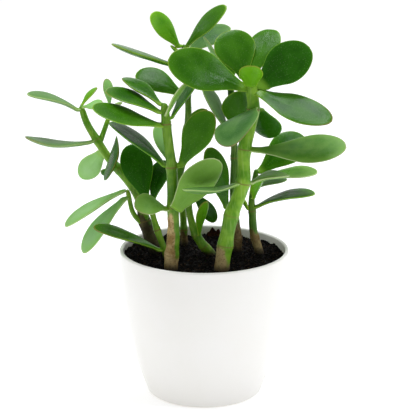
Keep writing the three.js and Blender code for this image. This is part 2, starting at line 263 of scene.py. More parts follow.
# ---- Pot -----------------------------------------------------------------------------------------
# One slip-cast ceramic pot with a thin, rounded lip. It is glazed a satin white all over, but for the
# flat underside that it stood on in the kiln.

POT_LOW, POT_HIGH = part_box("pot")
POT_HEIGHT = POT_HIGH.z - POT_LOW.z
RIM_RADIUS = (POT_HIGH.x - POT_LOW.x) / 2
BASE_RADIUS = 47.5 * MM
WALL = 3.3 * MM
POT_FLOOR = 6 * MM
BASE_CORNER = 2.5 * MM
# The wall's two control points, as shares of its flare, its rim radius and its height.
WALL_LOW_FLARE, WALL_LOW_HEIGHT = 0.64, 0.29
WALL_HIGH_BULGE, WALL_HIGH_HEIGHT = 1.015, 0.63
POT_SEGMENTS = 144
WALL_STEPS = 40


def wall_point(t):
    """The outside of the wall, from the base at t 0 to the lip at t 1, as (radius, height)."""
    points = (
        (BASE_RADIUS, 0.0),
        (BASE_RADIUS + (RIM_RADIUS - BASE_RADIUS) * WALL_LOW_FLARE, POT_HEIGHT * WALL_LOW_HEIGHT),
        (RIM_RADIUS * WALL_HIGH_BULGE, POT_HEIGHT * WALL_HIGH_HEIGHT),
        (RIM_RADIUS, POT_HEIGHT),
    )
    weights = ((1 - t) ** 3, 3 * t * (1 - t) ** 2, 3 * t * t * (1 - t), t ** 3)
    return tuple(sum(w * p[axis] for w, p in zip(weights, points)) for axis in (0, 1))


wall_line = [wall_point(t) for t in np.linspace(0, 1, 200)]


def outer_radius(height):
    return float(np.interp(height, [p[1] for p in wall_line], [p[0] for p in wall_line]))


def arc(radius, height, size, start, end, count):
    """Points of an arc in a profile, with its angles in degrees."""
    turns = [math.radians(a) for a in np.linspace(start, end, count)]
    return [(radius + size * math.cos(a), height + size * math.sin(a)) for a in turns]


def lathe(name, profile, segments):
    """A closed turned shape. The profile starts and ends on the axis."""
    inner = profile[1:-1]
    turns = np.linspace(0, 2 * math.pi, segments, endpoint=False)
    points = [(r * math.cos(a), r * math.sin(a), z) for r, z in inner for a in turns]
    points += [(0, 0, profile[0][1]), (0, 0, profile[-1][1])]
    return closed_mesh(name, points, tube_faces(len(inner), segments))


def pot_profile():
    """The pot's outline, from the middle of its underside, over the lip, to the middle of its floor."""
    lip = WALL / 2
    lip_height = POT_HEIGHT - lip
    corner = outer_radius(BASE_CORNER) - BASE_CORNER
    profile = [(0, 0), (corner * 0.5, 0), (corner - 1 * MM, 0)]
    profile += arc(corner, BASE_CORNER, BASE_CORNER, -90, 0, 9)
    heights = np.linspace(BASE_CORNER, lip_height, WALL_STEPS)[1:]
    profile += [(outer_radius(h), h) for h in heights]
    profile += arc(outer_radius(lip_height) - lip, lip_height, lip, 0, 180, 13)[1:]
    inside = np.linspace(lip_height, POT_FLOOR + BASE_CORNER, WALL_STEPS)[1:]
    profile += [(outer_radius(h) - WALL, h) for h in inside]
    floor_corner = outer_radius(POT_FLOOR) - WALL - BASE_CORNER
    profile += [(floor_corner, POT_FLOOR), (floor_corner * 0.5, POT_FLOOR), (0, POT_FLOOR)]
    return profile


def glazed_ceramic():
    """Satin glaze on slip-cast earthenware: soft highlights, a faint ripple, a bare matt foot."""
    material, tree = new_material("satin white glaze on slip-cast earthenware")
    place = add_node(tree, "ShaderNodeTexCoord").outputs["Object"]
    height = add_node(tree, "ShaderNodeSeparateXYZ", {"Vector": place}).outputs["Z"]
    cloud = add_node(tree, "ShaderNodeTexNoise", {"Vector": place, "Scale": 28.0, "Detail": 3.0})
    peel = add_node(tree, "ShaderNodeTexNoise", {"Vector": place, "Scale": 330.0, "Detail": 2.0})
    pooled = ranged(tree, cloud.outputs["Fac"], 0.35, 0.7)
    glaze = mixed(tree, pooled, linear("#eceae5"), linear("#edebe7"))
    bare = ranged(tree, height, 0.15 * MM, 0.6 * MM, 1.0, 0.0)
    colour = mixed(tree, bare, glaze, linear("#e2dacb"))
    gloss = ranged(tree, cloud.outputs["Fac"], 0.3, 0.7, 0.3, 0.33)
    foot = ranged(tree, height, 0.15 * MM, 0.6 * MM, 0.5, 0.0)
    roughness = add_node(tree, "ShaderNodeMath", {0: gloss, 1: foot}, operation="ADD")
    bump = add_node(tree, "ShaderNodeBump", {
        "Height": peel.outputs["Fac"], "Strength": 0.18, "Distance": 0.12 * MM,
    })
    shader = add_node(tree, "ShaderNodeBsdfPrincipled", {
        "Base Color": colour, "Roughness": roughness.outputs[0], "IOR": 1.5,
        "Specular IOR Level": 0.4, "Normal": bump.outputs["Normal"],
    })
    finish_material(tree, shader)
    return material


add_piece("white_pot", lathe("white_pot", pot_profile(), POT_SEGMENTS), glazed_ceramic(),
          ["pot"])


# ---- Soil ----------------------------------------------------------------------------------------
# Dark peat-based potting mix, filled to a little below the lip. It is loose on top, banks up to the
# left and right, and stands in a ragged edge against the wall.

SOIL_LOW, SOIL_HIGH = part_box("soil")
SOIL_MOUND = 1.5 * MM
SOIL_TOP = SOIL_HIGH.z - SOIL_MOUND
SOIL_GAP = 0.3 * MM
SOIL_ROUND = 160
SOIL_RINGS = 52
CLOD_SIZE = 9 * MM
CLOD_HEIGHT = 1.5 * MM
EDGE_RISE = 2.6 * MM
EDGE_FROM = 0.93
SOIL_BANK = 3.5 * MM
BANK_FROM = 0.75
RIGHT_BANK_SHARE = 0.6
SOIL_SIDE_RINGS = 8
GRAIN_SEED = 7
GRAINS_PER_SQUARE_METRE = 330000.0
GRAIN_SMALL, GRAIN_LARGE = 0.42 * MM, 1.25 * MM


def soil_height(x, y, share):
    """Height of the soil's surface, where share runs from the middle (0) to the wall (1)."""
    place = Vector((x, y, 0)) / CLOD_SIZE
    clods = noise.noise(place) + 0.5 * noise.noise(place * 2.7) + 0.3 * noise.noise(place * 6.1)
    ragged = max(0.0, noise.noise(place * 1.6 + Vector((5, 3, 1))) + 0.15)
    edge = max(0.0, (share - EDGE_FROM) / (1 - EDGE_FROM))
    mound = SOIL_MOUND * (1 - share * share)
    sideways = abs(x) / (x * x + y * y + MM * MM) ** 0.5
    bank = SOIL_BANK * max(0.0, (share - BANK_FROM) / (1 - BANK_FROM)) * sideways
    if x >= 0:
        bank *= RIGHT_BANK_SHARE
    return SOIL_TOP + mound + bank + CLOD_HEIGHT * clods + EDGE_RISE * edge * ragged


def soil_mesh():
    """The closed soil bed, with the points and the faces of its top for the grains to lie on."""
    points = []
    for ring in range(1, SOIL_RINGS + 1):
        share = ring / SOIL_RINGS
        for side in range(SOIL_ROUND):
            turn = 2 * math.pi * side / SOIL_ROUND
            reach = share * (outer_radius(SOIL_TOP) - WALL - SOIL_GAP)
            x, y = reach * math.cos(turn), reach * math.sin(turn)
            points.append((x, y, soil_height(x, y, share)))
    faces = []
    for ring in range(SOIL_RINGS - 1):
        for side in range(SOIL_ROUND):
            a, b = ring * SOIL_ROUND, (ring + 1) * SOIL_ROUND
            after = (side + 1) % SOIL_ROUND
            faces.append((a + side, b + side, b + after, a + after))
    surface = list(faces)
    rim = (SOIL_RINGS - 1) * SOIL_ROUND
    wall_heights = np.linspace(SOIL_TOP - 4 * MM, SOIL_LOW.z + BASE_CORNER, SOIL_SIDE_RINGS)
    for height in wall_heights:
        reach = outer_radius(height) - WALL - SOIL_GAP
        start = len(points)
        for side in range(SOIL_ROUND):
            turn = 2 * math.pi * side / SOIL_ROUND
            points.append((reach * math.cos(turn), reach * math.sin(turn), height))
        for side in range(SOIL_ROUND):
            after = (side + 1) % SOIL_ROUND
            faces.append((rim + side, start + side, start + after, rim + after))
        rim = start
    points += [(0, 0, soil_height(0, 0, 0)), (0, 0, wall_heights[-1])]
    top, bottom = len(points) - 2, len(points) - 1
    for side in range(SOIL_ROUND):
        after = (side + 1) % SOIL_ROUND
        faces += [(top, side, after), (bottom, rim + after, rim + side)]
    return closed_mesh("soil_bed", points, faces), points, surface


def potting_mix(name, light_bit):
    """Damp peat and composted bark: nearly black, with a few brown bits and a slight wet glint."""
    material, tree = new_material(name)
    place = add_node(tree, "ShaderNodeTexCoord").outputs["Object"]
    bits = add_node(tree, "ShaderNodeTexVoronoi", {"Vector": place, "Scale": 620.0})
    crumbs = add_node(tree, "ShaderNodeTexNoise", {"Vector": place, "Scale": 750.0, "Detail": 4.0})
    tone = add_node(tree, "ShaderNodeSeparateColor", {"Color": bits.outputs["Color"]})
    dark = mixed(tree, tone.outputs["Red"], linear("#030303"), linear("#100e0c"))
    brown = ranged(tree, tone.outputs["Green"], light_bit, 1.0)
    colour = mixed(tree, brown, dark, linear("#33261a"))
    bump = add_node(tree, "ShaderNodeBump", {
        "Height": crumbs.outputs["Fac"], "Strength": 0.7, "Distance": 0.5 * MM,
    })
    roughness = ranged(tree, tone.outputs["Blue"], 0.0, 1.0, 0.45, 0.85)
    shader = add_node(tree, "ShaderNodeBsdfPrincipled", {
        "Base Color": colour, "Roughness": roughness, "Specular IOR Level": 0.03,
        "Normal": bump.outputs["Normal"],
    })
    finish_material(tree, shader)
    return material


def grain_tree(material):
    """Scatters angular crumbs on a surface, with a fixed seed."""
    tree = bpy.data.node_groups.new("soil grains", "GeometryNodeTree")
    face = tree.interface
    face.new_socket("Geometry", in_out="INPUT", socket_type="NodeSocketGeometry")
    for name in ("Per Square Metre", "Small", "Large"):
        face.new_socket(name, in_out="INPUT", socket_type="NodeSocketFloat")
    face.new_socket("Geometry", in_out="OUTPUT", socket_type="NodeSocketGeometry")
    given = add_node(tree, "NodeGroupInput").outputs
    spread = add_node(tree, "GeometryNodeDistributePointsOnFaces", {
        "Mesh": given["Geometry"], "Density": given["Per Square Metre"], "Seed": GRAIN_SEED,
    })
    crumb = add_node(tree, "GeometryNodeMeshIcoSphere", {"Radius": 1.0, "Subdivisions": 1})
    turned = add_node(tree, "FunctionNodeRandomValue", {
        "Min": (0, 0, 0), "Max": (6.28, 6.28, 6.28), "Seed": GRAIN_SEED + 1,
    }, data_type="FLOAT_VECTOR")
    size = add_node(tree, "FunctionNodeRandomValue", {
        2: given["Small"], 3: given["Large"], "Seed": GRAIN_SEED + 2,
    }, data_type="FLOAT")
    stretch = add_node(tree, "FunctionNodeRandomValue", {
        "Min": (0.6, 0.6, 0.45), "Max": (1.4, 1.1, 0.9), "Seed": GRAIN_SEED + 3,
    }, data_type="FLOAT_VECTOR")
    scale = add_node(tree, "ShaderNodeVectorMath", {
        0: stretch.outputs["Value"], "Scale": size.outputs[1],
    }, operation="SCALE")
    placed = add_node(tree, "GeometryNodeInstanceOnPoints", {
        "Points": spread.outputs["Points"], "Instance": crumb.outputs["Mesh"],
        "Rotation": turned.outputs["Value"], "Scale": scale.outputs["Vector"],
    })
    real = add_node(tree, "GeometryNodeRealizeInstances", {"Geometry": placed.outputs[0]})
    coloured = add_node(tree, "GeometryNodeSetMaterial", {
        "Geometry": real.outputs[0], "Material": material,
    })
    result = add_node(tree, "NodeGroupOutput")
    tree.links.new(coloured.outputs[0], result.inputs[0])
    return tree


def baked(name, source, tree, values):
    """The source object's mesh after a node tree, as a plain mesh. values are the named inputs."""
    modifier = source.modifiers.new(name, "NODES")
    modifier.node_group = tree
    for item in tree.interface.items_tree:
        if item.in_out == "INPUT" and item.name in values:
            modifier[item.identifier] = values[item.name]
    graph = bpy.context.evaluated_depsgraph_get()
    mesh = bpy.data.meshes.new_from_object(source.evaluated_get(graph))
    source.modifiers.remove(modifier)
    mesh.name = name
    return mesh


soil_shape, soil_points, soil_surface = soil_mesh()
add_piece("soil_bed", soil_shape, potting_mix("damp peat potting mix", 0.9), ["soil"])

seed_mesh = bpy.data.meshes.new("grain_bed")
seed_mesh.from_pydata(soil_points, [], soil_surface)
grain_bed = bpy.data.objects.new("grain_bed", seed_mesh)
scene.collection.objects.link(grain_bed)
grain_material = potting_mix("loose peat and bark crumbs", 0.82)
grain_shape = baked("soil_grains", grain_bed, grain_tree(grain_material), {
    "Per Square Metre": GRAINS_PER_SQUARE_METRE, "Small": GRAIN_SMALL, "Large": GRAIN_LARGE,
})
bpy.data.objects.remove(grain_bed)
grain_shape.materials.clear()
add_piece("soil_grains", grain_shape, grain_material)


# ---- Stems ---------------------------------------------------------------------------------------
# Each cutting is one succulent stem, rooted in the soil. A ring scar marks each pair of old leaves,
# and thin brown bark has grown over the oldest stretch.

STEM_SIDES = 32
STEM_STEP = 1.2 * MM
SCAR_DEPTH = 0.3 * MM
SCAR_WIDTH = 0.65 * MM
SCAR_LIP = 0.22 * MM
STEM_LUMPS = 0.02
LUMP_SIZE = 9 * MM
BARK_WRINKLE = 0.4 * MM
STEM_SAMPLES = 400
# Each side shoot, with the stem that it grows on.
BRANCHES = {"left_branch": "left", "left_twig": "left"}
# Each old stem's bark: its height above the soil in mm, how much further it reaches on the left, and
# its tone, from dry and tan (0) to nearly black (1). The last value is painted shade: how much darker a
# green the rind is painted, for stems that stand in the plant's shade.
BARK_AND_SHADE = {
    "front_right": (8, 13, 0.3, 0.0), "front_left": (12, 36, 0.0, 0.4), "left": (27, 8, 0.95, 0.1),
    "short": (1, 0, 0.4, 0.1), "curved": (3, 3, 0.2, 0.1), "right": (17, 3, 0.3, 0.6),
    "inner": (24, 8, 0.45, 0.8), "back": (40, 0, 0.8, 0.6), "back_left": (12, 3, 0.5, 0.1),
}
NO_BARK = (-30, 0, 0.0, 0.0)
BRANCH_DROP = 0.9
BRANCH_FOOT_SWELL = 1.15
TIP_TAPER = 0.3
TIP_REACH = 7 * MM
TIP_SMALLEST = 0.12


def smoothstep(low, high, value):
    """0 below low, 1 above high, and a smooth rise between them."""
    share = np.clip((np.asarray(value, float) - low) / (high - low), 0, 1)
    return share * share * (3 - 2 * share)


def hermite(places, values, at):
    """values given at places, read off smoothly at other places."""
    places, values, at = (np.asarray(a, float) for a in (places, values, at))
    slopes = np.gradient(values, places, axis=0)
    spans = np.clip(np.searchsorted(places, at, side="right") - 1, 0, len(places) - 2)
    step = places[spans + 1] - places[spans]
    u = (at - places[spans]) / step
    if values.ndim > 1:
        u, step = u[:, None], step[:, None]
    start, end = values[spans], values[spans + 1]
    return ((2 * u ** 3 - 3 * u ** 2 + 1) * start + (u ** 3 - 2 * u ** 2 + u) * step * slopes[spans]
            + (3 * u ** 2 - 2 * u ** 3) * end + (u ** 3 - u ** 2) * step * slopes[spans + 1])


def rings_of(node):
    """The rings of a CAD tube or blade, in order: (first pole, rings of points, last pole)."""
    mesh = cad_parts[node].data
    raw = np.empty(len(mesh.vertices) * 3)
    mesh.vertices.foreach_get("co", raw)
    raw = raw.reshape(-1, 3)
    points, same = np.unique(np.round(raw / (2e-3 * MM)), axis=0, return_inverse=True)
    same = same.ravel()
    places = np.zeros_like(points)
    places[same] = raw
    near = [set() for _ in points]
    for polygon in mesh.polygons:
        corners = [int(same[v]) for v in polygon.vertices]
        for corner in corners:
            near[corner].update(corners)
    for i, others in enumerate(near):
        others.discard(i)
    first = max(range(len(near)), key=lambda i: (len(near[i]), -places[i][2]))
    levels, seen = [[first]], {first}
    while len(seen) < len(near):
        reached = sorted({n for i in levels[-1] for n in near[i]} - seen)
        levels.append(reached)
        seen.update(reached)
    rings = []
    for level in levels[1:-1]:
        inside = set(level)
        walk = [level[0]]
        while len(walk) < len(level):
            onward = [n for n in near[walk[-1]] & inside if n not in walk]
            walk.append(min(onward, key=lambda n: np.linalg.norm(places[n] - places[walk[-1]])))
        rings.append(places[walk])
    return places[first], rings, places[levels[-1][0]]


def frames_along(centres):
    """For each point of a line, its direction and two directions across that don't twist."""
    ahead = np.gradient(centres, axis=0)
    ahead /= np.linalg.norm(ahead, axis=1)[:, None]
    across = np.cross(ahead[0], (0, 1, 0))
    sides = []
    for direction in ahead:
        across = across - direction * np.dot(across, direction)
        across /= np.linalg.norm(across)
        sides.append(across)
    sides = np.array(sides)
    return ahead, sides, np.cross(ahead, sides)


stem_lines = {}


def measure_stem(stem):
    """Keeps a stem's centre line, its radii and where its ring scars are, read from its CAD node."""
    first, rings, last = rings_of(f"{stem}_stem")
    if first[2] > last[2]:
        rings = rings[::-1]
    centres = [ring.mean(0) for ring in rings]
    radii = [np.linalg.norm(ring - ring.mean(0), axis=1).mean() for ring in rings]
    swollen = [i for i in range(1, len(radii) - 1) if radii[i] > max(radii[i - 1], radii[i + 1])]
    reach = np.concatenate([[0], np.cumsum(np.linalg.norm(np.diff(centres, axis=0), axis=1))])
    stem_lines[stem] = {
        "centres": np.array(centres), "radii": np.array(radii), "reach": reach,
        "scars": [reach[i] for i in swollen],
    }


def stem_samples(stem):
    """Many points of a stem's centre line, and the stem's radius at each."""
    line = stem_lines[stem]
    at = np.linspace(0, line["reach"][-1], STEM_SAMPLES)
    return hermite(line["reach"], line["centres"], at), np.interp(at, line["reach"], line["radii"])


def nearest_on_stem(stem, point):
    """The closest point of a stem's centre line, and the stem's radius there."""
    centres, radii = stem_samples(stem)
    found = int(np.argmin(np.linalg.norm(centres - np.asarray(point), axis=1)))
    return centres[found], float(radii[found])


def grown_line(stem):
    """A stem's reach, centre line, radii and ring scars, with a side shoot's foot in its parent."""
    line = stem_lines[stem]
    reach, centres, radii, scars = line["reach"], line["centres"], line["radii"].copy(), line["scars"]
    if stem in BRANCHES:
        root, _ = nearest_on_stem(BRANCHES[stem], centres[0])
        drop = np.linalg.norm(centres[0] - root) * BRANCH_DROP
        root, _ = nearest_on_stem(BRANCHES[stem], root - np.array((0, 0, drop)))
        extra = np.linalg.norm(centres[1] - root) - reach[1]
        reach = np.concatenate([[0], reach[1:] + extra])
        centres = np.vstack([root, centres[1:]])
        radii[0] *= BRANCH_FOOT_SWELL
        scars = [place + extra for place in scars]
    radii[-1] = radii[-2]
    return reach, centres, radii, scars


def scarred(size, scars, at):
    """The radii with a groove and two low lips at each ring scar, and how much each ring is scar."""
    scar = np.zeros(len(at))
    for place in scars:
        gap = (at - place) / SCAR_WIDTH
        scar = np.maximum(scar, np.exp(-(gap ** 2)))
        size = size - SCAR_DEPTH * np.exp(-(gap ** 2)) + SCAR_LIP * np.exp(-((np.abs(gap) - 2) ** 2))
    return size, scar


def stem_mesh(stem):
    """One stem as a fine closed tube, with ring scars, low lumps, wrinkled bark and a round tip."""
    reach, centres, radii, scars = grown_line(stem)
    at = np.linspace(0, reach[-1], int(reach[-1] / STEM_STEP))
    middle = hermite(reach, centres, at)
    _, side, other = frames_along(middle)
    seed = sum(ord(letter) for letter in stem)
    # The last bark value is painted shade: how much darker a green this stem's rind is painted.
    bark_top, bark_left, bark_tone, rind_painted_shade = BARK_AND_SHADE.get(stem, NO_BARK)
    size, scar = scarred(hermite(reach, radii, at), scars, at)
    size = size * (1 - TIP_TAPER * smoothstep(reach[-1] - TIP_REACH, reach[-1], at))
    end_round = np.sqrt(np.clip(1 - ((at - reach[-1] + size) / size).clip(0, 1) ** 2, 0, 1))
    size = size * np.maximum(end_round, TIP_SMALLEST)
    points, bark_values, scar_values = [], [], []
    for i, place in enumerate(middle):
        up = (place[2] - SOIL_TOP) / MM
        for k in range(STEM_SIDES):
            turn = 2 * math.pi * k / STEM_SIDES
            out = math.cos(turn) * side[i] + math.sin(turn) * other[i]
            sample = Vector(place / LUMP_SIZE) + Vector(out) * 0.8 + Vector((seed, 0, 0))
            lump = noise.noise(sample) * STEM_LUMPS
            edge = bark_top + bark_left * float(smoothstep(-0.55, 0.1, -out[0]))
            edge += 4 * noise.noise(sample * 1.9)
            bark = float(smoothstep(-2, 2.5, edge - up))
            wrinkle = noise.noise(Vector(out * 3.4) + Vector((0, 0, place[2] / (5 * MM) + seed)))
            radius = size[i] * (1 + lump) + bark * BARK_WRINKLE * wrinkle
            points.append(place + out * radius)
            bark_values.append(bark)
            scar_values.append(scar[i])
    points += [middle[0], middle[-1] + (middle[-1] - middle[-2]) * 0.05]
    bark_values += [1.0, 0.0]
    scar_values += [0.0, 0.0]
    return closed_mesh(f"jade_{stem}_stem", points, tube_faces(len(at), STEM_SIDES), {
        "bark": bark_values, "scar": scar_values, "bark_tone": [bark_tone] * len(points),
        "rind_painted_shade": [rind_painted_shade] * len(points),
    })


def stem_skin():
    """Smooth green rind with pale lengthwise streaks, brown ring scars and thin, cracked bark. The rind
    is painted a darker green where a stem stands in shade, and the stem is painted darker near the
    soil.
    """
    material, tree = new_material("green succulent rind under thin brown bark")
    place = add_node(tree, "ShaderNodeTexCoord").outputs["Object"]
    bark = add_node(tree, "ShaderNodeAttribute", attribute_name="bark").outputs["Fac"]
    scar = add_node(tree, "ShaderNodeAttribute", attribute_name="scar").outputs["Fac"]
    long = add_node(tree, "ShaderNodeMapping", {"Vector": place, "Scale": (1, 1, 0.09)})
    streaks = add_node(tree, "ShaderNodeTexNoise", {
        "Vector": long.outputs[0], "Scale": 620.0, "Detail": 3.0,
    })
    patches = add_node(tree, "ShaderNodeTexNoise", {"Vector": place, "Scale": 90.0, "Detail": 3.0})
    flecks = add_node(tree, "ShaderNodeTexNoise", {"Vector": place, "Scale": 700.0, "Detail": 4.0})
    tone = add_node(tree, "ShaderNodeAttribute", attribute_name="bark_tone").outputs["Fac"]
    painted_rind_shade = add_node(tree, "ShaderNodeAttribute", attribute_name="rind_painted_shade").outputs["Fac"]
    green = mixed(tree, ranged(tree, patches.outputs["Fac"], 0.35, 0.65),
                  linear("#52890f"), linear("#7ca82a"))
    # Painted shade: the rind turns a darker green on stems that stand in the plant's shade.
    green = mixed(tree, painted_rind_shade, green, linear("#2d560b"))
    green = mixed(tree, ranged(tree, streaks.outputs["Fac"], 0.5, 0.75, 0, 0.28), green,
                  linear("#b0cc70"))
    tan = mixed(tree, ranged(tree, patches.outputs["Fac"], 0.35, 0.65),
                linear("#8a7040"), linear("#c6b07c"))
    dark = mixed(tree, ranged(tree, patches.outputs["Fac"], 0.35, 0.65),
                 linear("#221d12"), linear("#4c4a2c"))
    brown = mixed(tree, tone, tan, dark)
    brown = mixed(tree, ranged(tree, flecks.outputs["Fac"], 0.5, 0.66, 0, 0.5), brown,
                  linear("#3f2c16"))
    colour = mixed(tree, bark, green, brown)
    colour = mixed(tree, ranged(tree, scar, 0.2, 0.8, 0, 0.8), colour, linear("#74602e"))
    # The stem is painted darker near the soil, up to a patchy edge.
    height = add_node(tree, "ShaderNodeSeparateXYZ", {"Vector": place}).outputs["Z"]
    patchy_height = add_node(tree, "ShaderNodeMath", {
        0: patches.outputs["Fac"], 1: -9 * MM, 2: height,
    }, operation="MULTIPLY_ADD")
    darker_near_soil = ranged(tree, patchy_height.outputs[0], SOIL_TOP - 3 * MM, SOIL_TOP + 4 * MM, 0.9, 0)
    colour = mixed(tree, darker_near_soil, colour, linear("#17110b"))
    rough = ranged(tree, bark, 0.0, 1.0, 0.38, 0.78)
    relief = mixed(tree, bark, streaks.outputs["Color"], flecks.outputs["Color"])
    bump = add_node(tree, "ShaderNodeBump", {
        "Height": relief, "Strength": 0.22, "Distance": 0.3 * MM,
    })
    shader = add_node(tree, "ShaderNodeBsdfPrincipled", {
        "Base Color": colour, "Roughness": rough, "IOR": 1.42, "Specular IOR Level": 0.3,
        "Subsurface Weight": 0.08, "Subsurface Radius": (0.6, 1.0, 0.2), "Subsurface Scale": 1.2 * MM,
        "Normal": bump.outputs["Normal"],
    })
    finish_material(tree, shader)
    return material


STEMS = sorted(name[:-len("_stem")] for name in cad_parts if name.endswith("_stem"))
rind = stem_skin()
for stem in STEMS:
    measure_stem(stem)
for stem in STEMS:
    add_piece(f"jade_{stem}_stem", stem_mesh(stem), rind, [f"{stem}_stem"])


# ---- Leaves --------------------------------------------------------------------------------------
# Thick, fleshy leaves grow in opposite pairs. The upper face is the flatter one, and a thin pale
# margin runs round to the tip, where the sun has reddened some of them.

AROUND = 48
LENGTHWISE = 46
FLATTER_TOP = 0.15
CUP = 0.1
MARGIN_POWER = 1.3
GROOVE = 0.3 * MM
KEEL = 0.35 * MM
RIPPLE = 0.4 * MM
RIPPLE_SIZE = 15 * MM
# The foot starts inside the stem, at this share of its way out, and is narrower than the stem.
FOOT_START = 0.4
FOOT_WIDTH_SHARE = 0.85
FOOT_DEPTH_SHARE = 0.9
# Half the width of the groove and of its pale line, as shares of the leaf's half width.
GROOVE_HALF, MIDRIB_HALF = 0.11, 0.08

# How each leaf has aged, where it isn't an ordinary mature one. The pale leaves are not an age but a
# painted haze of light, and the grey-green ones have a real bloom with a painted sheen.
AGES = {
    "dark": ["front_right_leaf_4", "front_right_leaf_8", "short_leaf_1", "short_leaf_2",
             "front_left_leaf_5", "front_left_leaf_6", "left_leaf_5"],
    "young": ["front_right_leaf_3", "right_leaf_2", "back_leaf_1"],
    "dusty": ["front_right_leaf_7", "back_leaf_3", "front_right_leaf_10", "left_leaf_3", "inner_leaf_1",
              "left_leaf_1"],
    "bloomed": ["front_left_leaf_4", "front_left_leaf_8", "front_left_leaf_9", "front_right_leaf_9",
                "front_right_leaf_11", "right_leaf_3"],
    "pale": ["left_leaf_2", "left_leaf_4", "left_branch_leaf_1", "left_twig_leaf_1", "left_twig_leaf_2",
             "back_left_leaf_2", "inner_leaf_4"],
}


def leaf_skin(name, upper, lower, light, rim, roughness):
    """A waxy cuticle on a fleshy leaf: a soft gloss, tiny pale pores, a lighter margin and painted
    light shining through the thinner edges.
    """
    material, tree = new_material(name)
    place = add_node(tree, "ShaderNodeTexCoord").outputs["Object"]

    def stored(key):
        return add_node(tree, "ShaderNodeAttribute", attribute_name=key).outputs["Fac"]

    patches = add_node(tree, "ShaderNodeTexNoise", {"Vector": place, "Scale": 70.0, "Detail": 3.0})
    pores = add_node(tree, "ShaderNodeTexVoronoi", {"Vector": place, "Scale": 720.0})
    cells = add_node(tree, "ShaderNodeTexNoise", {"Vector": place, "Scale": 1300.0, "Detail": 2.0})
    swell = add_node(tree, "ShaderNodeTexNoise", {"Vector": place, "Scale": 150.0, "Detail": 2.0})
    body = mixed(tree, stored("upper_side"), linear(lower), linear(upper))
    body = mixed(tree, ranged(tree, patches.outputs["Fac"], 0.38, 0.68, 0, 0.4), body, linear(light))
    body = mixed(tree, ranged(tree, stored("tint"), 0, 1, 0, 0.45), body, linear(light))
    body = mixed(tree, ranged(tree, stored("midrib"), 0, 1, 0, 0.35), body, linear(light))
    # Painted light: the flesh is painted lighter towards the edges, as if light shone through the
    # thinner margin.
    body = mixed(tree, ranged(tree, stored("edge_mm"), 0.5, 7.0, 0.55, 0), body, linear(light))
    body = mixed(tree, ranged(tree, pores.outputs["Distance"], 0.1, 0.26, 0.14, 0), body,
                 linear("#a8c48a"))
    body = mixed(tree, ranged(tree, stored("along"), 0.02, 0.13, 0.5, 0), body, linear("#80ac34"))
    edge = ranged(tree, stored("edge_mm"), 0.1, 0.85, 0.7, 0)
    margin = mixed(tree, stored("blush"), linear(rim), linear("#7c4230"))
    colour = mixed(tree, edge, body, margin)
    gloss = ranged(tree, patches.outputs["Fac"], 0.3, 0.7, roughness - 0.07, roughness + 0.07)
    fine = add_node(tree, "ShaderNodeBump", {
        "Height": cells.outputs["Fac"], "Strength": 0.8, "Distance": 0.14 * MM,
    })
    bump = add_node(tree, "ShaderNodeBump", {
        "Height": swell.outputs["Fac"], "Strength": 0.4, "Distance": 0.6 * MM,
        "Normal": fine.outputs["Normal"],
    })
    shader = add_node(tree, "ShaderNodeBsdfPrincipled", {
        "Base Color": colour, "Roughness": gloss, "IOR": 1.42, "Specular IOR Level": 0.13,
        "Subsurface Weight": 0.06, "Subsurface Radius": (0.5, 1.0, 0.2), "Subsurface Scale": 1.2 * MM,
        "Normal": bump.outputs["Normal"],
    })
    finish_material(tree, shader)
    return material


# Each age's cuticle: its name, its upper and lower colours, its light patches, its rim and how
# rough it is.
CUTICLES = {
    "mature": ("waxy cuticle, mature leaf", "#225405", "#376a15", "#447a12", "#8fb63c", 0.2),
    "dark": ("waxy cuticle, shaded leaf", "#123a03", "#205408", "#296308", "#6c9f28", 0.22),
    "young": ("waxy cuticle, young leaf", "#387a07", "#509213", "#6aa619", "#a2c43f", 0.28),
    # Partly painted sheen: a real grey waxy bloom with a painted whitish sheen over it.
    "dusty": ("grey-green bloom with painted sheen", "#37642a", "#567d3f", "#638d46", "#a6be78", 0.36),
    # Painted light: the pale cuticle is a haze of light painted over a pale leaf.
    "pale": ("pale leaf under a painted haze of light", "#8fbe7c", "#a6cd98", "#7fb554", "#b9d08a", 0.42),
    "bloomed": ("light bloom on a middle-aged leaf", "#457a1c", "#5c8c2c", "#7ba648", "#bccb94", 0.34),
}
LEAF_SKINS = {age: leaf_skin(*cuticle) for age, cuticle in CUTICLES.items()}


def rooted(stem, middle, half_side, half_face):
    """A leaf's sections with the first one moved into its stem and made narrower than the stem."""
    axis, radius = nearest_on_stem(stem, middle[0])
    middle, half_side, half_face = middle.copy(), half_side.copy(), half_face.copy()
    middle[0] = axis + (middle[0] - axis) * FOOT_START
    narrow = FOOT_WIDTH_SHARE * radius / np.linalg.norm(half_side[1])
    thin = FOOT_DEPTH_SHARE * radius / np.linalg.norm(half_face[1])
    half_side[0] = half_side[1] * min(1.0, narrow)
    half_face[0] = half_face[1] * min(1.0, thin)
    return middle, half_side, half_face


